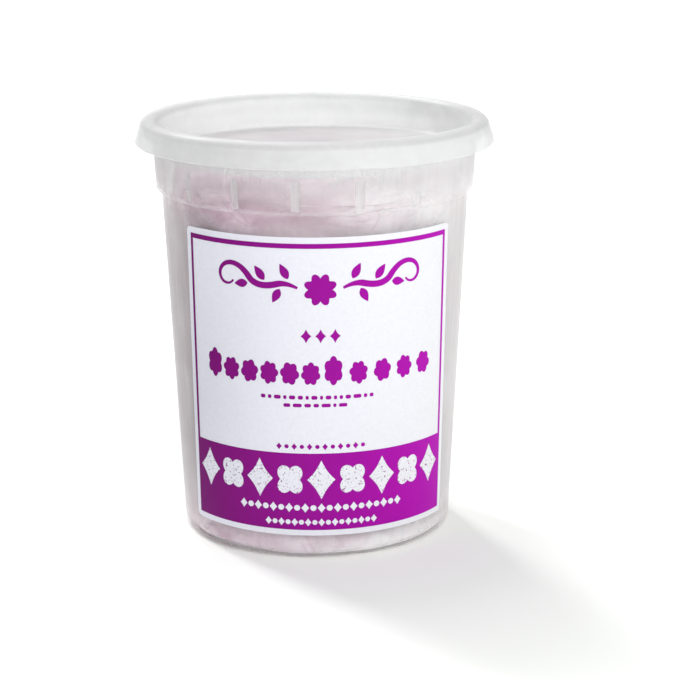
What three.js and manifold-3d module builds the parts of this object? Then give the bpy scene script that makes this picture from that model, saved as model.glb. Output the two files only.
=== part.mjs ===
// A lidded one-quart deli tub of translucent plastic, packed with lilac cotton candy, with a
// square paper label on its front. Millimetres, +Z up, the centre of the foot at the origin,
// and the label facing -Y.
import * as THREE from "three";
import { mergeVertices } from "three/addons/utils/BufferGeometryUtils.js";
import Module from "manifold-3d";

const wasm = await Module();
wasm.setup();

// Driving dimensions
const FACETS = 64; // flats around every turned piece
const WALL = 0.75; // moulded wall of the tub
const BASE_RADIUS = 45; // of the tapered wall, carried down to the foot's plane
const BASE_FILLET = 3.8;
const FOOT_WIDTH = 3.6; // of the ring that the tub stands on
const FOOT_HEIGHT = 0.6; // how far the middle of the base is raised
const FOOT_GUTTER = 3.2; // width of the sunken ring of floor inside the foot
const SHOULDER = { low: [50.7, 115], high: [52.5, 116.3] }; // [radius, height]
const SHOULDER_LIFT = 0.4; // how much higher it stands inside, for an even wall
const COLLAR_TOP = [53.3, 130.2];
const BEAD_NECK = [54.6, 133.2]; // where the bead turns out from the tub's flared mouth
const BEAD = { inner: 54.4, outer: 56.5, low: 133.9, high: 137.2, round: 0.7 };

const RIB_COUNT = 16;
const RIB_PHASE = -5.9; // degrees from the front, of one rib
const RIB = { root: 3.2, tip: 1.9, depth: 1.1, high: 126 };
const RIB_BITE = 0.4; // how far a rib's root goes into the wall

const LID_WALL = 0.7;
const LID_PANEL = 127.4; // top face of the sunken panel
const PANEL_RADIUS = 49.6;
const PANEL_FILLET = 1.5;
// the rim's roll: a quarter round up from the plug wall, and a wider one out to the skirt
const ROLL = { crest: [54.4, 139], inner: 3, outer: 3.4 };
const SKIRT = { radius: 59.2, low: 130.9 };

// the label, with its turn from the front in degrees and its lift off the wall
const LABEL = { width: 98, low: 8.6, high: 108.4, thick: 0.2, lift: 0.15, corner: 1.6, turn: 2.6 };
const LABEL_COLUMNS = 24;
const LABEL_ROWS = 4;
const CORNER_STEPS = 3;

const CANDY_GAP = 0.5; // least room between the candy and the plastic
const CANDY_LOW = 1.85;
const CANDY_HIGH = 126.1;
const FOOT_ROUND = 2.6; // how far the candy's edge is rounded over at its foot
const HEAD_ROUND = 6; // and at its head
const CANDY_SIDE_ROWS = 22;
const CANDY_EDGE_ROWS = 3;
const CANDY_FOOT_RINGS = [0.35, 0.7]; // shares of the foot's radius
const CANDY_HEAD_RINGS = [0.86, 0.7, 0.54, 0.36, 0.18]; // shares of the head's radius
const SETTLED = { height: 24, share: 0.15 }; // near its foot the side's creases shrink to a share
// Creases down the candy's side: how many go round, how they lean and wave, and how deep they are
const STEEP_FOLDS = [
  { count: 5, lean: 0.028, wave: 0.8, pitch: 62, phase: 0.5, depth: 2.1 },
  { count: 8, lean: -0.046, wave: 0.6, pitch: 41, phase: 2.2, depth: 1.4 },
];
// Creases round its side, a pitch apart in height
const LEVEL_FOLDS = [
  { pitch: 47, count: 2, wave: 1.1, phase: 0.9, depth: 1.7 },
  { pitch: 29, count: 3, wave: 0.9, phase: 2.6, depth: 1.0 },
];
// Creases over its head, each along its own bearing, in degrees
const HEAD_FOLDS = [
  { pitch: 44, bearing: 24, wave: 0.9, phase: 0.3, depth: 2.6 },
  { pitch: 31, bearing: 118, wave: 0.8, phase: 1.9, depth: 1.9 },
];

const radians = THREE.MathUtils.degToRad;
const lerp = THREE.MathUtils.lerp;

// Solids from triangles
function solidOf(geometry) {
  const bare = new THREE.BufferGeometry();
  bare.setAttribute("position", geometry.getAttribute("position"));
  bare.setIndex(geometry.getIndex());
  const merged = mergeVertices(bare, 1e-4);
  const index = merged.getIndex().array;
  const kept = [];
  for (let i = 0; i < index.length; i += 3) {
    const [a, b, c] = [index[i], index[i + 1], index[i + 2]];
    if (a !== b && b !== c && a !== c) kept.push(a, b, c);
  }
  const build = () =>
    new wasm.Manifold(
      new wasm.Mesh({
        numProp: 3,
        vertProperties: merged.getAttribute("position").array,
        triVerts: new Uint32Array(kept),
      }),
    );
  const solid = build();
  if (solid.volume() > 0) return solid;
  for (let i = 0; i < kept.length; i += 3) {
    [kept[i + 1], kept[i + 2]] = [kept[i + 2], kept[i + 1]];
  }
  return build();
}

function meshOf(name, solid, material) {
  const { numProp, vertProperties, triVerts } = solid.getMesh();
  const points = new Float32Array((vertProperties.length / numProp) * 3);
  for (let i = 0; i < points.length / 3; i++) {
    points.set(vertProperties.subarray(i * numProp, i * numProp + 3), i * 3);
  }
  const geometry = new THREE.BufferGeometry();
  geometry.setAttribute("position", new THREE.BufferAttribute(points, 3));
  geometry.setIndex(new THREE.BufferAttribute(triVerts, 1));
  geometry.computeVertexNormals();
  const mesh = new THREE.Mesh(geometry, material);
  mesh.name = name;
  return mesh;
}

// A profile of [radius, height] pairs, turned about Z. It starts and ends on the axis.
function turned(profile) {
  const points = profile.map(([radius, height]) => new THREE.Vector2(radius, height));
  return solidOf(new THREE.LatheGeometry(points, FACETS).rotateX(Math.PI / 2));
}

// Points of a round corner, from one angle to the other in degrees.
function arc([centreR, centreZ], radius, from, to, steps = 4) {
  return Array.from({ length: steps + 1 }, (_, i) => {
    const angle = radians(lerp(from, to, i / steps));
    return [centreR + radius * Math.cos(angle), centreZ + radius * Math.sin(angle)];
  });
}

// Closed skin over rings of equal length, from a point under the first to one over the last.
function skinned(bottom, rings, top) {
  const around = rings[0].length;
  const points = [bottom, ...rings.flat(), top].flat();
  const faces = [];
  const at = (row, i) => 1 + row * around + (i % around);
  const last = points.length / 3 - 1;
  for (let i = 0; i < around; i++) {
    faces.push(0, at(0, i + 1), at(0, i));
    for (let row = 0; row + 1 < rings.length; row++) {
      faces.push(at(row, i), at(row, i + 1), at(row + 1, i + 1));
      faces.push(at(row, i), at(row + 1, i + 1), at(row + 1, i));
    }
    faces.push(last, at(rings.length - 1, i), at(rings.length - 1, i + 1));
  }
  const geometry = new THREE.BufferGeometry();
  geometry.setAttribute("position", new THREE.Float32BufferAttribute(points, 3));
  geometry.setIndex(faces);
  return solidOf(geometry);
}

// Point at an angle from the front, in radians, turning towards +X.
const around = (radius, angle, height) => [
  radius * Math.sin(angle),
  -radius * Math.cos(angle),
  height,
];

// Outer radius of the tub's tapered wall and of its collar
const TAPER = (SHOULDER.low[0] - BASE_RADIUS) / SHOULDER.low[1];
const wallRadius = (height) => BASE_RADIUS + TAPER * height;
const COLLAR_SLOPE = (COLLAR_TOP[0] - SHOULDER.high[0]) / (COLLAR_TOP[1] - SHOULDER.high[1]);
const collarRadius = (height) => SHOULDER.high[0] + COLLAR_SLOPE * (height - SHOULDER.high[1]);

// Height, in the middle of the wall, of the shoulder's slope at a radius
function ledgeHeight(radius) {
  const [low, high] = [SHOULDER.low, SHOULDER.high];
  const share = (radius + WALL / 2 - low[0]) / (high[0] - low[0]);
  return lerp(low[1], high[1], share);
}

// The tub: a foot ring, a tapered wall, a shoulder out to the collar, and a bead round its mouth
function tubShell() {
  const footOuter = wallRadius(BASE_FILLET) - BASE_FILLET;
  const footInner = footOuter - FOOT_WIDTH;
  const floor = FOOT_HEIGHT + WALL;
  const inside = BASE_FILLET - WALL;
  const outer = [
    [0, FOOT_HEIGHT],
    [footInner - FOOT_HEIGHT, FOOT_HEIGHT],
    [footInner, 0],
    ...arc([footOuter, BASE_FILLET], BASE_FILLET, -90, -3, 5),
    SHOULDER.low,
    SHOULDER.high,
    COLLAR_TOP,
    BEAD_NECK,
    [BEAD.outer, BEAD.low],
    ...arc([BEAD.outer - BEAD.round, BEAD.high - BEAD.round], BEAD.round, 0, 90, 2),
  ];
  const inner = [
    ...arc([BEAD.inner + BEAD.round, BEAD.high - BEAD.round], BEAD.round, 90, 180, 2),
    [BEAD.inner, BEAD.low],
    [COLLAR_TOP[0] - WALL, COLLAR_TOP[1]],
    [SHOULDER.high[0] - WALL, SHOULDER.high[1] + SHOULDER_LIFT],
    [SHOULDER.low[0] - WALL, SHOULDER.low[1] + SHOULDER_LIFT],
    ...arc([footOuter, BASE_FILLET], inside, -3, -60, 3),
    [footOuter - FOOT_GUTTER, floor],
    [0, floor],
  ];
  return turned([...outer, ...inner]);
}

// One upright rib inside the collar, from the ledge over its shoulder to just under the lid
function rib(angle) {
  const { root, tip, depth, high } = RIB;
  const section = new THREE.Shape([
    new THREE.Vector2(-root / 2, RIB_BITE),
    new THREE.Vector2(-root / 2, 0),
    new THREE.Vector2(-tip / 2, -depth),
    new THREE.Vector2(tip / 2, -depth),
    new THREE.Vector2(root / 2, 0),
    new THREE.Vector2(root / 2, RIB_BITE),
  ]);
  const blade = new THREE.ExtrudeGeometry(section, { depth: 1, steps: 1, bevelEnabled: false });
  const points = blade.getAttribute("position");
  for (let i = 0; i < points.count; i++) {
    const [x, inwards, atTop] = [points.getX(i), points.getY(i), points.getZ(i) > 0.5];
    const foot = SHOULDER.high[0] - WALL + inwards;
    const height = atTop ? high : ledgeHeight(foot);
    const y = -(atTop ? collarRadius(high) - WALL + inwards : foot);
    points.setXYZ(
      i,
      x * Math.cos(angle) - y * Math.sin(angle),
      x * Math.sin(angle) + y * Math.cos(angle),
      height,
    );
  }
  return solidOf(blade);
}

function tub() {
  let made = tubShell();
  for (let i = 0; i < RIB_COUNT; i++) {
    made = made.add(rib(radians(RIB_PHASE + (360 / RIB_COUNT) * i)));
  }
  return made;
}

// The lid: a sunken panel, a sloping plug wall, a rim over the bead, and a flared skirt
function lid() {
  const { crest, inner, outer } = ROLL;
  const panelCorner = [PANEL_RADIUS, LID_PANEL + PANEL_FILLET];
  const innerMiddle = [crest[0], crest[1] - inner];
  const outerMiddle = [crest[0], crest[1] - outer];
  const upper = [
    [0, LID_PANEL],
    ...arc(panelCorner, PANEL_FILLET, -90, 0, 3),
    ...arc(innerMiddle, inner, 180, 90, 4),
    ...arc(outerMiddle, outer, 90, 15, 4).slice(1),
    [SKIRT.radius, SKIRT.low],
  ];
  const lower = [
    [SKIRT.radius - LID_WALL, SKIRT.low],
    ...arc(outerMiddle, outer - LID_WALL, 15, 90, 4),
    ...arc(innerMiddle, inner - LID_WALL, 90, 180, 4).slice(1),
    ...arc(panelCorner, PANEL_FILLET + LID_WALL, 0, -90, 3),
    [0, LID_PANEL - LID_WALL],
  ];
  return turned([...upper, ...lower]);
}

// Closed sheet between two grids of points, a front and a back, each a list of columns.
function slab(front, back) {
  const [columns, rows] = [front.length, front[0].length];
  const f = (i, j) => i * rows + j;
  const b = (i, j) => columns * rows + i * rows + j;
  const faces = [];
  const quad = (p, q, r, s) => faces.push(p, q, r, p, r, s);
  for (let i = 0; i + 1 < columns; i++) {
    for (let j = 0; j + 1 < rows; j++) {
      quad(f(i, j), f(i + 1, j), f(i + 1, j + 1), f(i, j + 1));
      quad(b(i, j), b(i, j + 1), b(i + 1, j + 1), b(i + 1, j));
    }
    quad(f(i + 1, 0), f(i, 0), b(i, 0), b(i + 1, 0));
    quad(f(i, rows - 1), f(i + 1, rows - 1), b(i + 1, rows - 1), b(i, rows - 1));
  }
  for (let j = 0; j + 1 < rows; j++) {
    quad(f(0, j), f(0, j + 1), b(0, j + 1), b(0, j));
    quad(f(columns - 1, j + 1), f(columns - 1, j), b(columns - 1, j), b(columns - 1, j + 1));
  }
  const geometry = new THREE.BufferGeometry();
  const points = [...front.flat(2), ...back.flat(2)];
  geometry.setAttribute("position", new THREE.Float32BufferAttribute(points, 3));
  geometry.setIndex(faces);
  return solidOf(geometry);
}

// The label: a thin sheet with round corners, wrapped on the tapered wall
function label() {
  const { width, low, high, thick, lift, corner, turn } = LABEL;
  const square = width / 2 - corner; // how far from its middle the corners start
  const bend = Array.from({ length: CORNER_STEPS }, (_, i) =>
    square + corner * Math.cos(radians((90 * i) / CORNER_STEPS)),
  );
  const level = Array.from({ length: LABEL_COLUMNS + 1 }, (_, i) =>
    lerp(-square, square, i / LABEL_COLUMNS),
  );
  const stations = [...bend.map((s) => -s), ...level, ...bend.reverse()];
  const sheet = (off) =>
    stations.map((s) => {
      const past = Math.max(0, Math.abs(s) - square);
      const cut = corner - Math.sqrt(Math.max(0, corner * corner - past * past));
      return Array.from({ length: LABEL_ROWS + 1 }, (_, j) => {
        const height = lerp(low + cut, high - cut, j / LABEL_ROWS);
        const radius = wallRadius(height);
        return around(radius + off, s / radius + radians(turn), height);
      });
    });
  return slab(sheet(lift + thick), sheet(lift));
}

// How deep a crease is at a phase: 1 along its bottom, 0 on the puffs beside it
const valley = (phase) => (0.5 + 0.5 * Math.cos(2 * phase)) ** 2;

// How far the candy's side lies inside its widest, and its head below its highest
function sideFold(angle, height) {
  const turn = 2 * Math.PI;
  const settled = lerp(SETTLED.share, 1, THREE.MathUtils.smoothstep(height, 0, SETTLED.height));
  let deep = 0;
  for (const { count, lean, wave, pitch, phase, depth } of STEEP_FOLDS) {
    const sway = wave * Math.sin((turn * height) / pitch + phase);
    deep += depth * valley((count * angle) / 2 + lean * height + sway + phase);
  }
  for (const { pitch, count, wave, phase, depth } of LEVEL_FOLDS) {
    const sway = wave * Math.sin(count * angle + phase);
    deep += depth * valley((Math.PI * height) / pitch + sway + phase);
  }
  return deep * settled;
}

function headFold(x, y) {
  let deep = 0;
  for (const { pitch, bearing, wave, phase, depth } of HEAD_FOLDS) {
    const [c, s] = [Math.cos(radians(bearing)), Math.sin(radians(bearing))];
    const [along, across] = [x * c + y * s, y * c - x * s];
    const sway = wave * Math.sin((Math.PI * along) / pitch + phase);
    deep += depth * valley((Math.PI * across) / pitch + sway + phase);
  }
  return deep;
}

// The candy: floss packed into the tub, its side and head a field of puffs and creases
function candy() {
  const sideRadius = (angle, height) => {
    const inside = Math.min(wallRadius(height), SHOULDER.low[0]) - WALL - CANDY_GAP;
    return inside - sideFold(angle, height);
  };
  const headHeight = (angle, radius) =>
    CANDY_HIGH - headFold(radius * Math.sin(angle), -radius * Math.cos(angle));
  const footEdge = CANDY_LOW + FOOT_ROUND; // where the rounding of the foot ends
  const headRadius = (angle) => sideRadius(angle, CANDY_HIGH - HEAD_ROUND);
  const headEdge = (angle) => headHeight(angle, headRadius(angle) - HEAD_ROUND) - HEAD_ROUND;
  const ring = (make) =>
    Array.from({ length: FACETS }, (_, i) => {
      const angle = (2 * Math.PI * i) / FACETS;
      const [radius, height] = make(angle);
      return around(radius, angle, height);
    });
  // A quarter round, from 0 on the flat to 1 on the side: how far in, and how far along
  const corner = (round, share) => {
    const turn = (share * Math.PI) / 2;
    return [round * (1 - Math.sin(turn)), round * (1 - Math.cos(turn))];
  };
  const edgeShares = Array.from({ length: CANDY_EDGE_ROWS }, (_, i) => i / CANDY_EDGE_ROWS);
  const foot = CANDY_FOOT_RINGS.map((share) =>
    ring((angle) => [share * (sideRadius(angle, footEdge) - FOOT_ROUND), CANDY_LOW]),
  );
  const footRound = edgeShares.map((share) =>
    ring((angle) => {
      const [pull, rise] = corner(FOOT_ROUND, share);
      return [sideRadius(angle, footEdge) - pull, CANDY_LOW + rise];
    }),
  );
  const side = Array.from({ length: CANDY_SIDE_ROWS + 1 }, (_, i) =>
    ring((angle) => {
      const height = lerp(footEdge, headEdge(angle), i / CANDY_SIDE_ROWS);
      return [sideRadius(angle, height), height];
    }),
  );
  const headRound = edgeShares.reverse().map((share) =>
    ring((angle) => {
      const [pull, drop] = corner(HEAD_ROUND, share);
      const height = headEdge(angle) + HEAD_ROUND - drop;
      return [sideRadius(angle, headEdge(angle)) - pull, height];
    }),
  );
  const head = CANDY_HEAD_RINGS.map((share) =>
    ring((angle) => {
      const radius = share * (sideRadius(angle, headEdge(angle)) - HEAD_ROUND);
      return [radius, headHeight(angle, radius)];
    }),
  );
  const rings = [...foot, ...footRound, ...side, ...headRound, ...head];
  return skinned([0, 0, CANDY_LOW], rings, [0, 0, headHeight(0, 0)]);
}

const plastic = () =>
  new THREE.MeshStandardMaterial({
    color: 0xe6e6e8,
    roughness: 0.42,
    metalness: 0,
    transparent: true,
    opacity: 0.55,
  });
const floss = new THREE.MeshStandardMaterial({ color: 0xc9adbd, roughness: 0.95, metalness: 0 });
const paper = new THREE.MeshStandardMaterial({ color: 0xf1eff6, roughness: 0.45, metalness: 0 });

const group = new THREE.Group();
group.add(
  meshOf("tub", tub(), plastic()),
  meshOf("lid", lid(), plastic()),
  meshOf("cotton_candy", candy(), floss),
  meshOf("label", label(), paper),
);

export default group;
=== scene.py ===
"""A lidded one-quart tub of frosted plastic, packed with lilac cotton candy, with a paper label.

Sizes are in millimetres, as in the part's own source, and become metres where a mesh is made.
Heights are above the foot, and angles turn from the front, which is -Y, towards +X.
"""
import math
import random

import bmesh
import bpy
import numpy as np
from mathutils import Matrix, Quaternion, Vector, noise
from mathutils.geometry import tessellate_polygon


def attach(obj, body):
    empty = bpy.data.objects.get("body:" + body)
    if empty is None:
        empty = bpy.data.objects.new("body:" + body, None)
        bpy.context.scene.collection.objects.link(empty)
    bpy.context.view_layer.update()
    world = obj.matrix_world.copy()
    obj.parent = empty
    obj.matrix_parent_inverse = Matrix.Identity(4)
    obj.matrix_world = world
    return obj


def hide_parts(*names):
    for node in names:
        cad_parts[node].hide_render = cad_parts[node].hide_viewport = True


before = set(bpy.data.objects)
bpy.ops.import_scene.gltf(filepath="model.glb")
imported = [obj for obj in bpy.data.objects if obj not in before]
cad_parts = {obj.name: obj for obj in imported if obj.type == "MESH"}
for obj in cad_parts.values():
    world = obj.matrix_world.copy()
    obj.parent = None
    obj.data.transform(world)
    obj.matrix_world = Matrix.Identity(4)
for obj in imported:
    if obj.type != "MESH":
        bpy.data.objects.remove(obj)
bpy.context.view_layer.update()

MM = 0.001
BODY = "root"
SEGMENTS = 768  # around each turned piece, a whole number to each rib

# The tub
WALL = 0.75
BASE_RADIUS = 45.0  # of the tapered wall, carried down to the foot's plane
BASE_FILLET = 3.8
FOOT_INNER = 37.8
FOOT_HEIGHT = 0.6  # how far the middle of the base is raised
SHOULDER_LOW = (50.7, 115.0)  # radius, height
SHOULDER_HIGH = (52.5, 116.3)
SHOULDER_LIFT = 0.4
COLLAR_TOP = (53.3, 130.2)
BEAD_NECK = (54.6, 133.2)
BEAD_INNER = 54.4
BEAD_OUTER = 56.5
BEAD_LOW = 133.9
BEAD_HIGH = 137.2

# The ribs inside its collar
RIB_COUNT = 16
RIB_PHASE = -5.9  # degrees
RIB_ROOT = 3.2  # width at the wall
RIB_TIP = 1.9  # width at the tip
RIB_DEPTH = 1.1
RIB_TOP = 126.0

# The lid, with the two quarter rounds of its rim's roll
LID_WALL = 0.7
LID_PANEL = 127.4
PANEL_RADIUS = 49.6
PANEL_FILLET = 1.5
ROLL_CREST = (54.4, 139.0)
ROLL_INNER = 3.0
ROLL_OUTER = 3.4
SKIRT = (59.2, 130.9)
SKIRT_ROUND = 0.35

# The label: its size along the wall, its corners, its two faces off the wall, its turn in degrees
LABEL_WIDTH = 98.0
LABEL_LOW = 8.6
LABEL_HIGH = 108.4
LABEL_CORNER = 1.6
LABEL_TURN = 2.6
LABEL_BACK = 0.15
LABEL_FACE = 0.35
INK_THICK = 0.03
INK_STEP = 0.012  # gap between an ink and what is under it
INK_OFF = LABEL_FACE + INK_STEP
INK_COLUMN = 2.0  # a print is cut into faces of at most this width and height, to follow the wall
INK_ROW = 12.0
BORDER_INSET = 2.0
BORDER_TOP = 1.6
BORDER_SIDE = 1.1
BAND_TOP = 36.9
BAND_LOW = 10.5

# Its print. Levels are heights above the foot, and places across it are from its middle
VINE_LEVEL = 91.5
VINE_BENDS = ((7, -0.05, -0.16), (10, 0.02, 0.22), (8.5, -0.05, -0.2), (13, -0.2, -0.42))
VINE_SPRIGS = ((0.09, 1, 5.4), (0.17, -1, 5.0), (0.3, 1, 5.4), (0.42, -1, 4.6))
SPRIG_GAP = 1.75
SPRIG_LEAN = 52  # degrees off the line
SPRIG_HALF_WIDTH = 1.25
LOZENGE_LEVEL = 76.3
PUFF_GROUPS = ((-36.8, -3.2, 6), (4.0, 36.6, 5))  # left, right, count
PUFF_FLOOR = 59.9
RULES = ((-19.5, 18.5, 55.2, 56.5), (-12.0, 9.0, 52.6, 53.8))  # left, right, low, high
RULE_DASH = 3.0
RULE_GAP = 0.8
RULE_SEED = 7
PURPLE_BEADS = (-13.6, 13.6, 39.2, 1.15, 12)  # left, right, level, half height, count
WHITE_BEADS = ((-26.2, 26.2, 18.2, 1.6, 21), (-17.4, 17.4, 13.2, 1.35, 17))
WHITE_LEVEL = 27.9
WHITE_ROW = (-40.5, 40.5, 9)  # left, right, count

# The candy, with the same folds as its solid
CANDY_GAP = 0.2
CANDY_LOW = 0.85  # in the thickness of the tub's floor, so that no air shows
CANDY_HIGH = 126.3
FOOT_ROUND = 3.1
HEAD_ROUND = 6.0
PRESSED = (5.0, 14.0, 0.55)  # heights between which its press into the wall fades, and its reach
SETTLED = (24.0, 0.15)  # below this height the side's creases shrink, to this share at the foot
SMOOTHED = (20.0, 0.35)  # below this one the wisps and tears of its skin do, to this share
SINK_RISE = 0.35  # share kept of the upright part of its skin's way inwards
CREASE_START = 0.4  # depth at which a crease begins to be painted darker, as painted shade
CREASE_SPAN = 5.5  # and how much deeper its painted shade is darkest
STEEP_FOLDS = (  # count, lean, wave, pitch, phase, depth
    (5, 0.028, 0.8, 62, 0.5, 2.1),
    (8, -0.046, 0.6, 41, 2.2, 1.4),
)
LEVEL_FOLDS = (  # pitch, count, wave, phase, depth
    (47, 2, 1.1, 0.9, 1.7),
    (29, 3, 0.9, 2.6, 1.0),
)
HEAD_FOLDS = (  # pitch, bearing in degrees, wave, phase, depth
    (44, 24, 0.9, 0.3, 2.6),
    (31, 118, 0.8, 1.9, 1.9),
)

# Its loose strands
STRAND_LOW = CANDY_LOW + 5  # heights that those on the side keep between
STRAND_HIGH = CANDY_HIGH - 9
STRAND_REACH = 42.0  # from the middle, of those on the head
STRAND_LIFT = (-0.3, 0.1)
STRAND_RADIUS = (0.04, 0.09)
STRAND_SEED = 11

# How much milkier each form of the plastic is than the plain wall, or clearer where it is below 0.
# Below 0 it is also tinted towards a second tone, which is painted light on the tub's foot and
# painted shade on the lid's panel and crest
RIB_MILK = 1.4
COLLAR_MILK = 0.2
LEDGE_MILK = -0.6
# The foot is clearer, and tinted paler as painted light against the shade under it
FOOT_MILK_AND_LIGHT = -0.7
FOOT_CLEAR = 3.0  # height of the clearer foot, and over which it fades out above
# The lid's panel and crest are clearer, and tinted grey as painted shade on its upward faces
PANEL_MILK_AND_SHADE = -1.0
CREST_MILK_AND_SHADE = -0.7

TAPER = (SHOULDER_LOW[0] - BASE_RADIUS) / SHOULDER_LOW[1]


def wall_radius(height):
    """Outer radius of the tapered wall at a height."""
    return BASE_RADIUS + TAPER * height


def smooth(share):
    """Eases a share in and out between 0 and 1, and holds it there."""
    share = np.clip(share, 0, 1)
    return share * share * (3 - 2 * share)


# Node materials
class NodeMaterial:
    """A material made of nodes, with the kinds of node that recur in this scene."""

    def __init__(self, name):
        self.made = bpy.data.materials.new(name)
        self.made.use_nodes = True
        self.tree = self.made.node_tree
        self.tree.nodes.clear()

    def feed(self, socket, value):
        """Sets a socket to a constant, or links another node's output to it."""
        if isinstance(value, bpy.types.NodeSocket):
            self.tree.links.new(value, socket)
        else:
            socket.default_value = value

    def node(self, kind, *values, **settings):
        """A new node. Values feed its first sockets, and a setting feeds a socket or is its own."""
        new = self.tree.nodes.new(kind)
        for key, value in settings.items():
            if hasattr(new, key):
                setattr(new, key, value)
            else:
                self.feed(new.inputs[key.replace("_", " ")], value)
        for socket, value in zip(new.inputs, values):
            self.feed(socket, value)
        return new

    def place(self):
        """The place on the object, in metres."""
        return self.node("ShaderNodeTexCoord").outputs["Object"]

    def stretched(self, place, scale, turn=(0, 0, 0)):
        return self.node("ShaderNodeMapping", Vector=place, Scale=scale, Rotation=turn).outputs[0]

    def attribute(self, name):
        return self.node("ShaderNodeAttribute", attribute_name=name).outputs["Fac"]

    def noise(self, place, **settings):
        return self.node("ShaderNodeTexNoise", Vector=place, **settings).outputs["Fac"]

    def math(self, operation, *values, **settings):
        return self.node("ShaderNodeMath", *values, operation=operation, **settings).outputs[0]

    def ranged(self, value, source_low, source_high, low, high):
        """A value taken from one range to another, and held at its ends."""
        limits = {"From_Min": source_low, "From_Max": source_high, "To_Min": low, "To_Max": high}
        return self.node("ShaderNodeMapRange", Value=value, **limits).outputs["Result"]

    def ramp(self, value, stops):
        """A colour for a value, from two stops, each a position and a colour."""
        made = self.node("ShaderNodeValToRGB", Fac=value)
        for element, (position, colour) in zip(made.color_ramp.elements, stops):
            element.position = position
            element.color = (*colour, 1)
        return made.outputs["Color"]

    def mixed(self, share, first, second):
        """A colour between two, each of them a constant or another node's output."""
        made = self.node("ShaderNodeMix", share, data_type="RGBA")
        for socket, colour in zip(made.inputs[6:8], (first, second)):
            self.feed(socket, (*colour, 1) if isinstance(colour, tuple) else colour)
        return made.outputs[2]

    def bump(self, height, strength, distance):
        settings = {"Height": height, "Strength": strength, "Distance": distance}
        return self.node("ShaderNodeBump", **settings).outputs["Normal"]

    def shader(self, kind, *values, **settings):
        return self.node(kind, *values, **settings).outputs[0]

    def shown(self, shader):
        """The finished material, with this shader on its surface."""
        self.node("ShaderNodeOutputMaterial", Surface=shader)
        return self.made


def frosted(name, light_and_shade_tone, white, film, edge, density, streaks, streaky, mottle):
    """Milky translucent plastic: a film that lets through what is behind it, more so head-on.

    film and edge are its opacity head-on and at a grazing angle, for each of the wall's faces.
    The milk attribute adds to its opacity, density for each unit, and below 0 it takes away
    and also turns the film towards its second tone, which is painted light on the tub's foot and
    painted shade on the lid's panel and crest. streaky and mottle are how much more or
    less opaque it is along the flow, whose noise is scaled by streaks, and in broad clouds.
    """
    made = NodeMaterial(name)
    place = made.place()
    flow = made.noise(made.stretched(place, streaks), Scale=1.0, Detail=4.0, Roughness=0.55)
    cloud = made.noise(place, Scale=40.0, Detail=2.0, Roughness=0.5)
    flowing = made.ranged(flow, 0.35, 0.65, -streaky, streaky)
    clouded = made.ranged(cloud, 0.35, 0.65, -mottle, mottle)
    uneven = made.math("ADD", flowing, clouded)

    facing = made.node("ShaderNodeLayerWeight", Blend=0.5).outputs["Facing"]
    depth = made.ranged(facing, 0.2, 0.95, film, edge)
    milk_and_painted_tone = made.attribute("milk_and_painted_tone")
    milky = made.math("MULTIPLY_ADD", milk_and_painted_tone, density, depth)
    opacity = made.math("ADD", milky, uneven, use_clamp=True)
    # Below 0 the film is painted towards its second tone: painted light on the tub's foot, painted
    # shade on the lid's panel and crest
    tone = made.mixed(made.ranged(milk_and_painted_tone, -1.0, 0.0, 0.0, 1.0), light_and_shade_tone, white)

    grain = made.noise(place, Scale=2600.0, Detail=2.0, Roughness=0.6)
    bump = made.bump(grain, 0.12, 0.00005)
    gloss = {"Roughness": 0.36, "IOR": 1.49}
    body = made.shader("ShaderNodeBsdfPrincipled", Base_Color=tone, Normal=bump, **gloss)
    glow = made.shader("ShaderNodeBsdfTranslucent", Color=tone)
    scatter = made.shader("ShaderNodeMixShader", 0.45, body, glow)
    clear = made.shader("ShaderNodeBsdfTransparent")
    return made.shown(made.shader("ShaderNodeMixShader", opacity, clear, scatter))


def spun_sugar(name, left, right):
    """Cotton candy: soft and matt, in pale and deep patches, with wisps and veins, and with painted
    shade in its creases.

    left and right are its pale and deep colours at either side; it is painted paler towards the
    right, as painted light from that side, and it is a little deeper towards the foot.
    """
    made = NodeMaterial(name)
    place = made.place()
    combed = made.stretched(place, (60, 60, 150), (0.5, 0.3, 0.2))
    wisps = made.noise(combed, Scale=1.6, Detail=7.0, Roughness=0.65, Distortion=1.2)
    patches = made.noise(place, Scale=85.0, Detail=3.0, Roughness=0.5, Distortion=0.8)
    veins = made.noise(place, Scale=48.0, Detail=3.0, Roughness=0.45, Distortion=1.0)
    off_vein = made.math("ABSOLUTE", made.math("SUBTRACT", veins, 0.5))
    vein = made.ranged(off_vein, 0.0, 0.035, 0.34, 0.0)
    patch = made.ranged(patches, 0.38, 0.62, -0.22, 0.3)
    # The crease attribute paints shade into the candy: the deeper its skin lies in a crease, the
    # deeper its colour
    shade = made.attribute("crease")
    for extra, share in ((wisps, 0.45), (patch, 1.0), (vein, 1.0)):
        shade = made.math("MULTIPLY_ADD", extra, share, shade)

    # Painted light: the candy is painted paler towards the right, as if lit from that side; it is
    # also made a little deeper towards the foot
    across = made.node("ShaderNodeSeparateXYZ", place)
    reach = made.ranged(across.outputs["X"], -0.030, 0.023, 0.0, 1.0)
    packed = made.ranged(across.outputs["Z"], 0.004, 0.024, -0.14, 0.0)
    painted_paleness = made.math("ADD", reach, packed, use_clamp=True)
    sides = [made.ramp(shade, [(0.15, pale), (0.95, deep)]) for pale, deep in (left, right)]
    looks = {
        "Base_Color": made.mixed(painted_paleness, *sides),
        "Normal": made.bump(wisps, 0.5, 0.0008),
        "Roughness": 0.85,
        "Sheen_Weight": 0.3,
        "Sheen_Roughness": 0.6,
        "Specular_IOR_Level": 0.2,
        "Subsurface_Weight": 0.9,
        "Subsurface_Radius": (1.0, 0.85, 0.92),
        "Subsurface_Scale": 0.008,
    }
    return made.shown(made.shader("ShaderNodeBsdfPrincipled", **looks))


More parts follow.
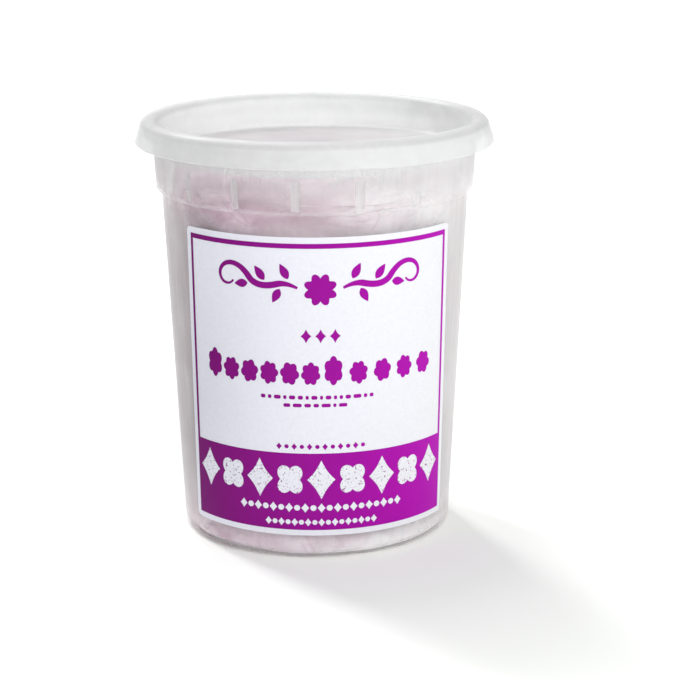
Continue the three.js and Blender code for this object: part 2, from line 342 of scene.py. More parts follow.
def printed(name, left, right, shine, worn=0.0, under=None):
    """Coated paper or an ink on it, from a colour at the label's left to one at its right, which is
    painted shade: the left is bluer on the paper and darker in the ink.

    It has a fine fibre grain, and a worn ink has specks where the colour under it shows.
    """
    made = NodeMaterial(name)
    place = made.place()
    across = made.node("ShaderNodeSeparateXYZ", place)
    # Painted shade: the colour shifts across the label, shaded at its left
    reach = made.ranged(across.outputs["X"], -0.04, 0.045, 0.0, 1.0)
    tone = made.ramp(reach, [(0.0, left), (1.0, right)])
    fibre = made.noise(place, Scale=900.0, Detail=4.0, Roughness=0.6)
    dim = made.ranged(fibre, 0.3, 0.7, 0.94, 1.0)
    tone = made.node("ShaderNodeVectorMath", tone, operation="SCALE", Scale=dim).outputs[0]
    if worn:
        specks = made.noise(place, Scale=1500.0, Detail=3.0, Roughness=0.7)
        rubbed = made.ranged(specks, 0.5 + worn, 0.53 + worn, 0.0, 1.0)
        tone = made.mixed(rubbed, tone, under)
    bump = made.bump(fibre, 0.08, 0.00004)
    gloss = {"Roughness": 0.5, "Specular_IOR_Level": shine}
    return made.shown(made.shader("ShaderNodeBsdfPrincipled", Base_Color=tone, Normal=bump, **gloss))


# Meshes
def piece(name, points, faces, finish, replaces=None, sharp=None):
    """A smooth-shaded mesh piece from points in millimetres. It rides on the one body."""
    mesh = bpy.data.meshes.new(name)
    mesh.from_pydata((np.asarray(points, float) * MM).tolist(), [], faces)
    mesh.update()
    return dressed(name, mesh, finish, replaces, sharp)


def dressed(name, mesh, finish, replaces=None, sharp=None):
    """An object from a mesh, with its material, its body and the node it replaces."""
    mesh.shade_smooth()
    if sharp:
        mesh.set_sharp_from_angle(angle=math.radians(sharp))
    mesh.materials.append(finish)
    made = bpy.data.objects.new(name, mesh)
    bpy.context.scene.collection.objects.link(made)
    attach(made, BODY)
    if replaces:
        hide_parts(replaces)
    return made


def mark(made, name, values):
    """Gives each point of a piece a number that its material reads."""
    numbers = made.data.attributes.new(name, "FLOAT", "POINT")
    numbers.data.foreach_set("value", np.asarray(values, np.float32))


def arc(centre, radius, start, end, steps=8):
    """Points of a round corner, from one angle to the other in degrees."""
    angles = np.radians(np.linspace(start, end, steps + 1))
    return [(centre[0] + radius * math.cos(a), centre[1] + radius * math.sin(a)) for a in angles]


def filleted(corners, step=12):
    """Turns corners, each a radius, a height and a fillet, into the points of a round outline."""
    outline = []
    for i, (radius, height, fillet) in enumerate(corners):
        here = Vector((radius, height))
        if not fillet:
            outline.append((radius, height))
            continue
        back = (Vector(corners[i - 1][:2]) - here).normalized()
        ahead = (Vector(corners[i + 1][:2]) - here).normalized()
        half = back.angle(ahead) / 2
        centre = here + (back + ahead).normalized() * (fillet / math.sin(half))
        start = here + back * (fillet / math.tan(half)) - centre
        sweep = math.pi - 2 * half
        turn = math.copysign(1, start.cross(ahead))
        first = math.degrees(math.atan2(start.y, start.x))
        steps = max(2, round(math.degrees(sweep) / step))
        outline += arc(centre, fillet, first, first + turn * math.degrees(sweep), steps)
    return outline


def split_long(outline, longest=8):
    """Adds points to an outline, so that no stretch of it is over a length."""
    full = []
    for (r0, z0), (r1, z1) in zip(outline, outline[1:]):
        parts = max(1, math.ceil(math.hypot(r1 - r0, z1 - z0) / longest))
        full += [(r0 + (r1 - r0) * k / parts, z0 + (z1 - z0) * k / parts) for k in range(parts)]
    return full + [outline[-1]]


def skinned(rings, bottom, top, outward=True):
    """Points and faces of the closed skin over an array of rings, from one point to another."""
    rows, around = rings.shape[:2]
    points = np.vstack([[bottom], rings.reshape(-1, 3), [top]])
    last = len(points) - 1
    faces = []
    for i in range(around):
        j = (i + 1) % around
        faces.append((0, 1 + j, 1 + i))
        for low in range(1, 1 + (rows - 1) * around, around):
            high = low + around
            faces.append((low + i, low + j, high + j, high + i))
        faces.append((last, last - around + i, last - around + j))
    return points, faces if outward else [face[::-1] for face in faces]


def ring_points(radius, angle, height):
    """Points around the axis, from arrays of one shape."""
    return np.stack([radius * np.sin(angle), -radius * np.cos(angle), height], axis=-1)


def around_axis(count):
    """Evenly spaced angles around the axis."""
    return 2 * np.pi * np.arange(count) / count


def turned(outline, inset=None):
    """Turns a closed outline that starts and ends on the axis. inset pulls its points inwards."""
    angle = around_axis(SEGMENTS)
    radius = np.array([[r] for r, _ in outline[1:-1]]) + 0 * angle
    height = np.array([[z] for _, z in outline[1:-1]]) + 0 * angle
    if inset is not None:
        radius = radius - inset
    r, z = np.array(outline).T
    outward = np.sum(r[:-1] * z[1:] - r[1:] * z[:-1]) > 0
    return skinned(ring_points(radius, angle, height), (0, 0, z[0]), (0, 0, z[-1]), outward)


def near(values, low, high, fade):
    """1 for values from low to high, falling smoothly to 0 over a fade on either side."""
    return smooth(1 - np.maximum(low - values, values - high) / fade)


# The tub
def collar_inside(height):
    """Radius of the collar's inner face at a height."""
    share = (height - SHOULDER_HIGH[1]) / (COLLAR_TOP[1] - SHOULDER_HIGH[1])
    return SHOULDER_HIGH[0] - WALL + share * (COLLAR_TOP[0] - SHOULDER_HIGH[0])


def rib_insets(outline):
    """How far the ribs stand in from the collar's inner face and its ledge, at each point."""
    angle = around_axis(SEGMENTS)
    radius = np.array([[r] for r, _ in outline[1:-1]])
    height = np.array([[z] for _, z in outline[1:-1]])
    inner = np.arange(len(radius))[:, None] > int(np.argmax(height))
    pitch = 2 * np.pi / RIB_COUNT
    off = (angle - math.radians(RIB_PHASE) + pitch / 2) % pitch - pitch / 2
    full = RIB_DEPTH * smooth((RIB_ROOT / 2 - abs(off) * radius) / (RIB_ROOT / 2 - RIB_TIP / 2))
    over_ledge = radius - (SHOULDER_LOW[0] - WALL)  # a rib grows out of the ledge's slope
    reach = np.clip(np.minimum(full, over_ledge), 0, None)
    return np.where(inner & (height <= RIB_TOP), reach, 0)


def make_tub(finish):
    """The tub, up its outside and down its inside."""
    floor = FOOT_HEIGHT + WALL
    corners = [  # radius, height, fillet
        (0, FOOT_HEIGHT, 0),
        (FOOT_INNER - FOOT_HEIGHT, FOOT_HEIGHT, 0.5),
        (FOOT_INNER, 0, 0.4),
        (BASE_RADIUS, 0, BASE_FILLET),
        (*SHOULDER_LOW, 0.4),
        (*SHOULDER_HIGH, 0.5),
        (*COLLAR_TOP, 0.8),
        (*BEAD_NECK, 0.3),
        (BEAD_OUTER, BEAD_LOW, 0.35),
        (BEAD_OUTER, BEAD_HIGH, 0.7),
        (BEAD_INNER, BEAD_HIGH, 0.7),
        (BEAD_INNER, BEAD_LOW, 0.5),
        (COLLAR_TOP[0] - WALL, COLLAR_TOP[1], 0.6),
        (collar_inside(RIB_TOP + 0.3), RIB_TOP + 0.3, 0),
        (collar_inside(RIB_TOP), RIB_TOP, 0),
        (SHOULDER_HIGH[0] - WALL, SHOULDER_HIGH[1] + SHOULDER_LIFT, 0.3),
        (SHOULDER_LOW[0] - WALL, SHOULDER_LOW[1] + SHOULDER_LIFT, 0.4),
        (wall_radius(floor) - WALL, floor, BASE_FILLET - WALL),
        (0, floor, 0),
    ]
    outline = split_long(filleted(corners))
    insets = rib_insets(outline)
    points, faces = turned(outline, insets)
    made = piece("tub_shell", points, faces, finish, "tub", sharp=35)
    height = points[:, 2]
    collar = near(height, SHOULDER_HIGH[1] + 1, BEAD_LOW, 1.0)
    ledge = near(height, SHOULDER_LOW[1] - 0.6, SHOULDER_HIGH[1] + SHOULDER_LIFT, 0.3)
    # The foot is clearer and painted paler, as painted light against the shade beneath it
    foot = near(height, -1.0, FOOT_CLEAR, FOOT_CLEAR)
    ribs = np.concatenate([[0], insets.reshape(-1) / RIB_DEPTH, [0]])
    forms = ((RIB_MILK, ribs), (COLLAR_MILK, collar), (LEDGE_MILK, ledge), (FOOT_MILK_AND_LIGHT, foot))
    mark(made, "milk_and_painted_tone", sum(milk_and_painted_tone * form for milk_and_painted_tone, form in forms))


# The lid
def make_lid(finish):
    """The lid, out over its top and back in under it."""
    panel_corner = (PANEL_RADIUS, LID_PANEL + PANEL_FILLET)
    inner_middle = (ROLL_CREST[0], ROLL_CREST[1] - ROLL_INNER)
    outer_middle = (ROLL_CREST[0], ROLL_CREST[1] - ROLL_OUTER)
    skirt_edge = (SKIRT[0] - SKIRT_ROUND, SKIRT[1] + SKIRT_ROUND)
    outline = [
        (0, LID_PANEL),
        *arc(panel_corner, PANEL_FILLET, -90, 0),
        *arc(inner_middle, ROLL_INNER, 180, 90, 12),
        *arc(outer_middle, ROLL_OUTER, 90, 15, 12)[1:],
        *arc(skirt_edge, SKIRT_ROUND, 15, -195, 12),
        *arc(outer_middle, ROLL_OUTER - LID_WALL, 15, 90, 12),
        *arc(inner_middle, ROLL_INNER - LID_WALL, 90, 180, 12)[1:],
        *arc(panel_corner, PANEL_FILLET + LID_WALL, 0, -90),
        (0, LID_PANEL - LID_WALL),
    ]
    points, faces = turned(split_long(outline))
    made = piece("lid_shell", points, faces, finish, "lid", sharp=50)
    radius, height = np.hypot(points[:, 0], points[:, 1]), points[:, 2]
    # The panel and the crest of the roll are clearer, and painted grey as painted shade on the lid's
    # upward faces
    panel = near(radius, -1.0, PANEL_RADIUS, 1.2)
    crest = near(height, ROLL_CREST[1] - 1.2, ROLL_CREST[1] + 1, 1.8)
    mark(made, "milk_and_painted_tone", PANEL_MILK_AND_SHADE * panel + CREST_MILK_AND_SHADE * crest)


# The candy
def valley(phase):
    """How deep a crease is at a phase: 1 along its bottom, 0 on the puffs beside it."""
    return (0.5 + 0.5 * np.cos(2 * phase)) ** 2


def side_fold(angle, height):
    """How far the candy's side lies in from its widest, as in its solid."""
    full_height, least = SETTLED
    settled = least + (1 - least) * smooth(height / full_height)
    deep = 0
    for count, lean, wave, pitch, phase, depth in STEEP_FOLDS:
        sway = wave * np.sin(2 * np.pi * height / pitch + phase)
        deep = deep + depth * valley(count * angle / 2 + lean * height + sway + phase)
    for pitch, count, wave, phase, depth in LEVEL_FOLDS:
        sway = wave * np.sin(count * angle + phase)
        deep = deep + depth * valley(np.pi * height / pitch + sway + phase)
    return deep * settled


def head_fold(x, y):
    """How far the candy's head lies below its highest, as in its solid."""
    deep = 0
    for pitch, bearing, wave, phase, depth in HEAD_FOLDS:
        c, s = math.cos(math.radians(bearing)), math.sin(math.radians(bearing))
        along, across = x * c + y * s, y * c - x * s
        sway = wave * np.sin(np.pi * along / pitch + phase)
        deep = deep + depth * valley(np.pi * across / pitch + sway + phase)
    return deep


def side_limit(height):
    """Radius of the candy's widest at a height: just inside the plastic, or pressed into it."""
    low, high, reach = PRESSED
    pressed = reach * smooth((high - height) / (high - low))
    return np.minimum(wall_radius(height), SHOULDER_LOW[0]) - WALL - CANDY_GAP + pressed


def side_radius(angle, height):
    """Radius of the candy's side."""
    return side_limit(height) - side_fold(angle, height)


def head_height(angle, radius):
    """Height of the candy's head."""
    return CANDY_HIGH - head_fold(radius * np.sin(angle), -radius * np.cos(angle))


def head_edge(angle):
    """Height at which the rounding of the candy's head starts."""
    radius = side_radius(angle, CANDY_HIGH - HEAD_ROUND) - HEAD_ROUND
    return head_height(angle, radius) - HEAD_ROUND


def quarter(rounding, steps):
    """How far in and how far along a quarter round is, step by step from the flat to the side."""
    turns = [math.pi / 2 * k / steps for k in range(steps)]
    return [(rounding * (1 - math.sin(t)), rounding * (1 - math.cos(t))) for t in turns]


def candy_rows(angle, side_rows, edge_rows, cap_rows):
    """Radius and height of each ring of the candy over an array of angles, foot to head."""
    foot_edge = CANDY_LOW + FOOT_ROUND
    foot_radius = side_radius(angle, foot_edge)
    top = head_edge(angle)
    top_radius = side_radius(angle, top)
    level = 0 * angle
    rows = []
    for k in range(1, cap_rows):
        rows.append(((foot_radius - FOOT_ROUND) * k / cap_rows, CANDY_LOW + level))
    for pull, rise in quarter(FOOT_ROUND, edge_rows):
        rows.append((foot_radius - pull, CANDY_LOW + rise + level))
    for k in range(side_rows + 1):
        height = foot_edge + (top - foot_edge) * k / side_rows
        rows.append((side_radius(angle, height), height))
    for pull, drop in reversed(quarter(HEAD_ROUND, edge_rows)):
        rows.append((top_radius - pull, top + HEAD_ROUND - drop))
    for k in reversed(range(1, cap_rows)):
        radius = (top_radius - HEAD_ROUND) * k / cap_rows
        rows.append((radius, head_height(angle, radius)))
    return rows


def ruffled(point):
    """How far the candy's skin sinks at a point, in millimetres: fine wisps and tears."""
    x, y, z = point
    broad = noise.noise(Vector((x, y, z * 1.4)) / 9.0)
    wisp = noise.noise(Vector((x * 0.5 + z * 0.3, y * 0.5, z * 1.6)) / 2.6)
    fine = noise.noise(Vector((x, y, z * 2.2)) / 1.1)
    return 0.3 * (broad + 1) + 0.4 * abs(wisp) + 0.14 * abs(fine)


def make_candy(finish, around=320, side_rows=130, edge_rows=9, cap_rows=22):
    """The candy, as one closed mass with its skin of wisps and tears."""
    angle = around_axis(around)
    rows = candy_rows(angle, side_rows, edge_rows, cap_rows)
    radii = np.array([radius for radius, _ in rows])
    heights = np.array([height for _, height in rows])
    flat = ring_points(radii, angle, heights).reshape(-1, 3)
    full_height, least = SMOOTHED
    rough = least + (1 - least) * np.clip(flat[:, 2] / full_height, 0, 1)
    sunk = np.array([ruffled(p) for p in flat]) * rough
    inward = np.array([0, 0, (CANDY_LOW + CANDY_HIGH) / 2]) - flat
    inward[:, 2] *= SINK_RISE
    inward /= np.linalg.norm(inward, axis=1)[:, None]
    rings = (flat + inward * sunk[:, None]).reshape(len(rows), around, 3)
    top = (0, 0, float(head_height(0.0, 0.0)))
    points, faces = skinned(rings, (0, 0, CANDY_LOW), top)
    made = piece("floss_core", points, faces, finish, "cotton_candy")
    fold = side_fold(angle, heights).reshape(-1)
    # How deep each point lies in a crease, which the material paints as shade
    depth = np.clip((fold + sunk - CREASE_START) / CREASE_SPAN, 0, 1)
    mark(made, "crease", np.concatenate([[0], depth, [0]]))


def side_strand(draw, steps, stride):
    """Places along one loose strand on the candy's side. It bridges the creases it crosses."""
    angle, height = draw.uniform(0, 2 * math.pi), draw.uniform(STRAND_LOW, STRAND_HIGH)
    spot = Vector((math.sin(angle) * 1.6, math.cos(angle) * 1.6, height / 26))
    heading = 5 * noise.noise(spot) + draw.gauss(0, 0.45)
    angles, heights = [], []
    for _ in range(steps):
        angles.append(angle)
        heights.append(min(STRAND_HIGH, max(STRAND_LOW, height)))
        heading += draw.gauss(0, 0.22)
        angle += math.cos(heading) * stride / BASE_RADIUS
        height += math.sin(heading) * stride
    angles, heights = np.array(angles), np.array(heights)
    radii = side_radius(angles, heights)
    bridge = np.linspace(radii[0], radii[-1], steps)
    lift = draw.uniform(*STRAND_LIFT)
    radii = np.minimum(np.maximum(radii, bridge) + lift, side_limit(heights) + 0.05)
    return ring_points(radii, angles, heights)


def head_strand(draw, steps, stride):
    """Places along one loose strand on the candy's head."""
    reach, turn = STRAND_REACH * math.sqrt(draw.random()), draw.uniform(0, 2 * math.pi)
    x, y = reach * math.sin(turn), reach * math.cos(turn)
    heading = 6 * noise.noise(Vector((x, y, 0)) / 22) + draw.gauss(0, 0.5)
    places = []
    for _ in range(steps):
        pull = min(1, STRAND_REACH / max(1e-6, math.hypot(x, y)))
        x, y = x * pull, y * pull
        places.append((x, y, CANDY_HIGH - head_fold(x, y)))
        heading += draw.gauss(0, 0.22)
        x += math.cos(heading) * stride
        y += math.sin(heading) * stride
    places = np.array(places)
    bridge = np.linspace(places[0, 2], places[-1, 2], steps)
    lift = draw.uniform(*STRAND_LIFT)
    places[:, 2] = np.minimum(np.maximum(places[:, 2], bridge) + lift, CANDY_HIGH + 0.1)
    return places


def thread(places, outward, radius):
    """Points and faces of a closed three-sided thread along places, thinner at its ends."""
    along = np.gradient(places, axis=0)
    across = np.cross(along, outward)
    across /= np.linalg.norm(across, axis=1)[:, None]
    over = np.cross(across, along)
    over /= np.linalg.norm(over, axis=1)[:, None]
    steps = len(places)
    width = radius * (0.35 + 0.65 * np.sin(np.pi * np.linspace(0.08, 0.92, steps)))[:, None]
    sides = [(0, 1), (-0.87, -0.5), (0.87, -0.5)]
    rings = np.stack([places + width * (a * across + b * over) for a, b in sides], axis=1)
    faces = [(0, 1, 2), tuple(3 * (steps - 1) + k for k in (2, 1, 0))]
    for low in range(0, 3 * (steps - 1), 3):
        for i, j in ((0, 1), (1, 2), (2, 0)):
            faces.append((low + j, low + i, low + 3 + i, low + 3 + j))
    return rings.reshape(-1, 3), faces


def make_strands(finish, side_count=2300, head_count=500, steps=8, stride=2.6):
    """Loose strands of sugar over the candy's side and head."""
    draw = random.Random(STRAND_SEED)
    points, faces = [], []
    for k in range(side_count + head_count):
        on_side = k < side_count
        places = (side_strand if on_side else head_strand)(draw, steps, stride)
        outward = places * (1, 1, 0) if on_side else np.array([0, 0, 1])
        some, sides = thread(places, outward, draw.uniform(*STRAND_RADIUS))
        start = len(points) * 3 * steps
        points.append(some)
        faces += [tuple(start + v for v in face) for face in sides]
    piece("floss_strands", np.concatenate(points), faces, finish)


# The label and its print, in millimetres: s across it from its middle, t above the foot
def on_wall(s, t, off):
    """A place on the label, at a distance off the wall."""
    radius = wall_radius(t)
    angle = s / radius + math.radians(LABEL_TURN)
    return ((radius + off) * math.sin(angle), -(radius + off) * math.cos(angle), t)


def rounded_box(left, right, low, high, corner, steps=5):
    """Outline of a box with round corners, anticlockwise."""
    outline = []
    corners = ((right, high, 0), (left, high, 90), (left, low, 180), (right, low, 270))
    for x, y, start in corners:
        centre = (x + (corner if x == left else -corner), y + (corner if y == low else -corner))
        outline += arc(centre, corner, start, start + 90, steps)
    return outline


def lobed(x, y, half_width, half_height, lobes, depth, turn=0.0, steps=60):
    """Outline with round lobes, such as a puff or a flower. With no depth it is an ellipse."""
    outline = []
    for k in range(steps):
        a = 2 * math.pi * k / steps
        reach = 1 - depth * (1 - abs(math.sin(lobes * a / 2 + turn)))
        outline.append((x + half_width * reach * math.cos(a), y + half_height * reach * math.sin(a)))
    return outline


def lozenge(x, y, half_width, half_height, bow=0.16, steps=6):
    """Outline of a diamond with slightly hollow sides."""
    tips = ((half_width, 0), (0, half_height), (-half_width, 0), (0, -half_height))
    outline = []
    for (x0, y0), (x1, y1) in zip(tips, tips[1:] + tips[:1]):
        for k in range(steps):
            share = k / steps
            pull = 1 - bow * math.sin(math.pi * share)
            outline.append((x + (x0 + (x1 - x0) * share) * pull, y + (y0 + (y1 - y0) * share) * pull))
    return outline


def stroke(path, widths):
    """Outline of a pen stroke along a path, with its half width at each point."""
    left, right = [], []
    for k, (x, y) in enumerate(path):
        x0, y0 = path[max(0, k - 1)]
        x1, y1 = path[min(len(path) - 1, k + 1)]
        length = math.hypot(x1 - x0, y1 - y0)
        nx, ny = -(y1 - y0) / length, (x1 - x0) / length
        left.append((x + nx * widths[k], y + ny * widths[k]))
        right.append((x - nx * widths[k], y - ny * widths[k]))
    return right + left[::-1]


def leaf(x, y, length, heading, half_width, steps=10):
    """Outline of a pointed leaf that grows from a place, on a heading in degrees."""
    c, s = math.cos(math.radians(heading)), math.sin(math.radians(heading))
    shares = [k / steps for k in range(steps + 1)]
    path = [(x + c * length * share, y + s * length * share) for share in shares]
    return stroke(path, [0.12 + half_width * math.sin(math.pi * share ** 0.8) for share in shares])


def ink(name, shapes, finish, off, thick=INK_THICK):
    """One flat print on the label from outlines, each of them a loop or a list of loops."""
    made = bmesh.new()
    for shape in shapes:
        loops = shape if isinstance(shape[0], list) else [shape]
        flat = [Vector((s, t, 0)) for loop in loops for s, t in loop]
        corners = [made.verts.new(p) for p in flat]
        for a, b, c in tessellate_polygon([[Vector((s, t, 0)) for s, t in loop] for loop in loops]):
            if (flat[b] - flat[a]).cross(flat[c] - flat[a]).length > 1e-7:
                made.faces.new((corners[a], corners[b], corners[c]))
    cuts = [((s, 0, 0), (1, 0, 0)) for s in np.arange(-LABEL_WIDTH / 2, LABEL_WIDTH / 2, INK_COLUMN)]
    cuts += [((0, t, 0), (0, 1, 0)) for t in np.arange(LABEL_LOW, LABEL_HIGH, INK_ROW)]
    for place, across in cuts:
        everything = made.verts[:] + made.edges[:] + made.faces[:]
        bmesh.ops.bisect_plane(made, geom=everything, plane_co=place, plane_no=across, dist=1e-5)
    raised = bmesh.ops.extrude_face_region(made, geom=made.faces[:])
    top = {v for v in raised["geom"] if isinstance(v, bmesh.types.BMVert)}
    for v in made.verts:
        s, t = v.co.x, v.co.y
        v.co = Vector(on_wall(s, t, off + (thick if v in top else 0))) * MM
    bmesh.ops.recalc_face_normals(made, faces=made.faces[:])
    mesh = bpy.data.meshes.new(name)
    made.to_mesh(mesh)
    made.free()
    return dressed(name, mesh, finish, sharp=40)


def make_paper(finish):
    """The label's paper, which is wrapped on the wall."""
    half = LABEL_WIDTH / 2
    outline = rounded_box(-half, half, LABEL_LOW, LABEL_HIGH, LABEL_CORNER)
    made = ink("label_paper", [outline], finish, LABEL_BACK, LABEL_FACE - LABEL_BACK)
    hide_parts("label")


def make_band(finish):
    """The label's border, with the filled band along its foot."""
    right = LABEL_WIDTH / 2 - BORDER_INSET
    top = LABEL_HIGH - BORDER_INSET
    outer = [(right, BAND_LOW), (right, top), (-right, top), (-right, BAND_LOW)]
    inside, ceiling = right - BORDER_SIDE, top - BORDER_TOP
    hole = [(inside, BAND_TOP), (inside, ceiling), (-inside, ceiling), (-inside, BAND_TOP)]
    ink("label_band", [[outer, hole]], finish, INK_OFF)


def pen(x, y, heading, bends, step=0.4):
    """Places along a drawn line. Each bend is a length with its curvature at both ends."""
    path, angle = [(x, y)], math.radians(heading)
    for length, start, end in bends:
        count = max(2, round(length / step))
        for k in range(count):
            angle += (start + (end - start) * (k + 0.5) / count) * length / count
            x += math.cos(angle) * length / count
            y += math.sin(angle) * length / count
            path.append((x, y))
    return path


def sprig(path, place, side, length):
    """A leaf that grows beside a line: its place along it from 0 to 1, and its side, 1 or -1."""
    k = round(place * (len(path) - 2))
    (x0, y0), (x1, y1) = path[k], path[k + 1]
    along = math.degrees(math.atan2(y1 - y0, x1 - x0))
    out = math.radians(along + 90 * side)
    start = (x0 + SPRIG_GAP * math.cos(out), y0 + SPRIG_GAP * math.sin(out))
    return leaf(*start, length, along + SPRIG_LEAN * side, SPRIG_HALF_WIDTH)


def make_flourish(finish):
    """A generic scroll across the label's head: a flower, and a leafy vine to either side."""
    shapes = [lobed(0, VINE_LEVEL, 5.4, 5.4, 8, 0.3)]
    path = pen(7.2, VINE_LEVEL + 0.5, 28, VINE_BENDS)
    shares = np.linspace(0, 1, len(path))
    widths = [1.05 * min(1, 0.4 + 3.5 * share, 0.3 + 1.3 * (1 - share)) for share in shares]
    half = [stroke(path, widths)] + [sprig(path, *each) for each in VINE_SPRIGS]
    for side in (1, -1):
        shapes += [[(side * x, y) for x, y in shape] for shape in half]
    ink("label_flourish", shapes, finish, INK_OFF)


def dashes(draw, left, right, low, high):
    """Small round-ended bars of uneven width, in a row from one end to the other."""
    shapes = []
    x = left
    while x < right - 0.7:
        end = min(right, x + draw.uniform(0.9, RULE_DASH))
        shapes.append(rounded_box(x, end, low, high, min(0.42 * (high - low), 0.42 * (end - x)), 3))
        x = end + RULE_GAP
    return shapes


def beads(left, right, level, half_height, count):
    """A row of small lozenges and dots, turn about."""
    shapes = []
    for k, x in enumerate(np.linspace(left, right, count)):
        if k % 2:
            shapes.append(lobed(x, level, 0.62 * half_height, 0.62 * half_height, 1, 0, steps=16))
        else:
            shapes.append(lozenge(x, level, 0.8 * half_height, half_height, 0.05, 4))
    return shapes


def make_purple_marks(finish):
    """Small purple marks: three lozenges, two groups of puffs, and fine dashed rules."""
    draw = random.Random(RULE_SEED)
    shapes = [lozenge(x, LOZENGE_LEVEL, 1.7, 2.3) for x in (-4.6, 0, 4.6)]
    for group in PUFF_GROUPS:
        for k, x in enumerate(np.linspace(*group)):
            tall = 4.9 if k == 0 else 3.9
            shapes.append(lobed(x, PUFF_FLOOR + tall, 3.1, tall, 6 + k % 2, 0.22, 0.5 * k, 84))
    for rule in RULES:
        shapes += dashes(draw, *rule)
    shapes += beads(*PURPLE_BEADS)
    ink("label_marks", shapes, finish, INK_OFF)


def make_white_marks(worn, plain):
    """White print on the band: a row of worn lozenges and flowers over two rows of beads."""
    off = INK_OFF + INK_THICK + INK_STEP
    shapes = []
    for k, x in enumerate(np.linspace(*WHITE_ROW)):
        if k % 2:
            shapes.append(lobed(x, WHITE_LEVEL, 4.9, 5.7, 4, 0.36))
        else:
            shapes.append(lozenge(x, WHITE_LEVEL, 4.5, 6.6, 0.12))
    ink("label_white_marks", shapes, worn, off)
    rows = [bead for row in WHITE_BEADS for bead in beads(*row)]
    ink("label_white_beads", rows, plain, off)


# The stage, in metres
FLOOR_SIZE = 14
FLOOR_TONES = ((0.3, (0.845, 0.86, 0.84)), (0.7, (0.865, 0.88, 0.86)))
CARD_MIDDLE = (-0.14, -0.14, 0.021)
CARD_HEIGHT = 0.042
CARD_LENGTH = 0.32
CARD_TONE = (0.03, 0.03, 0.03, 1)
SKY_STRENGTH = 0.40
LAMPS = (  # name, bearing turned left from behind, elevation, distance, width, height, watts
    ("back_low", 18, 50, 3.4, 0.34, 1.3, 33),
    ("back_side", 41, 45, 3.4, 0.5, 0.9, 57),
    ("back_high", 25, 72, 3.4, 0.34, 1.1, 20),
    ("front_panel", 195, 50, 1.8, 0.8, 0.5, 15.4),
    ("right_fill", 235, 20, 1.3, 0.6, 0.8, 2.8),
)
LAMP_AIM = (0, 0, 0.05)
CAMERA_PLACE = (0.011466, -0.715285, 0.248732)
CAMERA_DIP = 14.873  # degrees below level
CAMERA_ROLL = -0.192
CAMERA_LENS = 112.2  # millimetres, as is its sensor
CAMERA_SENSOR = 36


def stage_plane(name, size, place, finish):
    """A flat piece of the studio, which is no part of the object."""
    bpy.ops.mesh.primitive_plane_add(size=size, location=place)
    made = bpy.context.active_object
    made.name = name
    made.data.materials.append(finish)
    return made


def make_floor():
    """The pale floor, barely uneven in tone."""
    made = NodeMaterial("pale_floor")
    dust = made.noise(made.place(), Scale=6.0, Detail=3.0)
    body = made.shader("ShaderNodeBsdfDiffuse", Color=made.ramp(dust, FLOOR_TONES))
    stage_plane("floor", FLOOR_SIZE, (0, 0, 0), made.shown(body))


def make_flag():
    """A low dark card to the left of the picture, which keeps light off the tub's left side."""
    made = NodeMaterial("dark_card")
    body = made.shader("ShaderNodeBsdfDiffuse", Color=CARD_TONE)
    card = stage_plane("flag", 1, CARD_MIDDLE, made.shown(body))
    card.scale = (CARD_HEIGHT, CARD_LENGTH, 1)
    card.rotation_euler = (0, math.radians(90), 0)
    card.visible_camera = False
    card.visible_shadow = False  # it keeps off the floor's glow only


def aimed(light, place, target):
    """Puts a light at a place, turned towards a target."""
    made = bpy.data.objects.new(light.name, light)
    bpy.context.scene.collection.objects.link(made)
    made.location = place
    made.rotation_euler = (Vector(target) - Vector(place)).to_track_quat("-Z", "Y").to_euler()


def make_lights():
    """Soft studio light: an even sky and a few area lamps around the object."""
    world = bpy.data.worlds.new("studio")
    bpy.context.scene.world = world
    world.use_nodes = True
    sky = world.node_tree.nodes["Background"]
    sky.inputs["Color"].default_value = (1, 1, 1, 1)
    sky.inputs["Strength"].default_value = SKY_STRENGTH
    for name, bearing, elevation, distance, width, height, watts in LAMPS:
        lamp = bpy.data.lights.new(name, "AREA")
        lamp.shape = "RECTANGLE"
        lamp.size, lamp.size_y = width, height
        lamp.energy = watts
        turn, lift = math.radians(bearing), math.radians(elevation)
        level = distance * math.cos(lift)
        off = Vector((-level * math.sin(turn), level * math.cos(turn), distance * math.sin(lift)))
        aimed(lamp, Vector(LAMP_AIM) + off, LAMP_AIM)


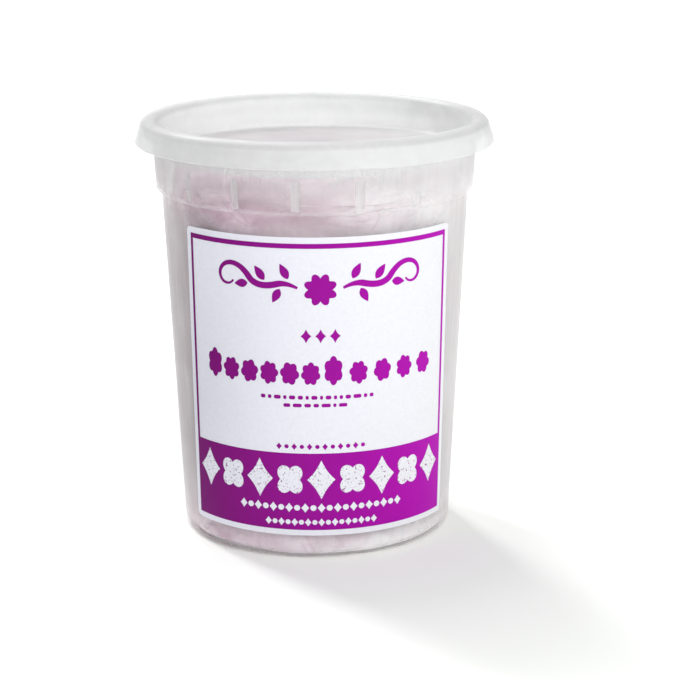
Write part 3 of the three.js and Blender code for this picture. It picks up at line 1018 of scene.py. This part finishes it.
def make_camera():
    """The camera that was fitted to the photograph, for a square picture."""
    lens = bpy.data.cameras.new("camera")
    lens.lens = CAMERA_LENS
    lens.sensor_width = CAMERA_SENSOR
    lens.clip_start, lens.clip_end = 0.05, 20
    made = bpy.data.objects.new("camera", lens)
    bpy.context.scene.collection.objects.link(made)
    made.location = CAMERA_PLACE
    made.rotation_mode = "QUATERNION"
    tilt = Quaternion((1, 0, 0), math.radians(90 - CAMERA_DIP))
    roll = Quaternion((0, 0, 1), math.radians(CAMERA_ROLL))
    made.rotation_quaternion = tilt @ roll
    bpy.context.scene.camera = made


# Colours, and the whole scene
# The tub's second tone is paler, and paints light on its foot
TUB_CLEAR_LIT_TONE, TUB_WHITE = (0.90, 0.88, 0.89), (0.80, 0.795, 0.80)
# The lid's second tone is a grey that paints shade on its panel and crest
LID_SHADE_TONE, LID_WHITE = (0.655, 0.655, 0.66), (0.885, 0.89, 0.895)
CANDY_LEFT = ((0.88, 0.71, 0.80), (0.60, 0.42, 0.51))  # pale, deep, at the left; the right's are paler, as painted light
CANDY_RIGHT = ((1.0, 0.95, 0.97), (0.96, 0.86, 0.90))
# The label's colours at its left and right: the left ones are painted shade, bluer on the paper and
# darker in the purple
PAPER_LEFT, PAPER_RIGHT = (0.82, 0.82, 0.92), (0.82, 0.82, 0.86)
PURPLE_LEFT, PURPLE_RIGHT = (0.19, 0.007, 0.16), (0.46, 0.006, 0.45)

make_camera()
make_floor()
make_flag()
make_lights()
tub_film = {"film": 0.20, "edge": 0.80, "density": 0.42, "streaky": 0.035, "mottle": 0.04}
make_tub(frosted("frosted_tub", TUB_CLEAR_LIT_TONE, TUB_WHITE, streaks=(300, 300, 14), **tub_film))
lid_film = {"film": 0.42, "edge": 0.78, "density": 0.06, "streaky": 0.04, "mottle": 0.06}
make_lid(frosted("frosted_lid", LID_SHADE_TONE, LID_WHITE, streaks=(70, 70, 70), **lid_film))
sugar = spun_sugar("spun_sugar", CANDY_LEFT, CANDY_RIGHT)
make_candy(sugar)
make_strands(sugar)
make_paper(printed("label_paper", PAPER_LEFT, PAPER_RIGHT, 0.4))
purple = printed("purple_ink", PURPLE_LEFT, PURPLE_RIGHT, 0.05)
make_band(purple)
make_flourish(purple)
make_purple_marks(purple)
worn_white = printed("worn_white_ink", PAPER_LEFT, PAPER_RIGHT, 0.3, worn=0.1, under=PURPLE_LEFT)
make_white_marks(worn_white, printed("white_ink", PAPER_LEFT, PAPER_RIGHT, 0.3))

bpy.context.scene.view_settings.view_transform = "Standard"
bpy.context.scene.cycles.transparent_max_bounces = 24  # two for each wall that is seen through
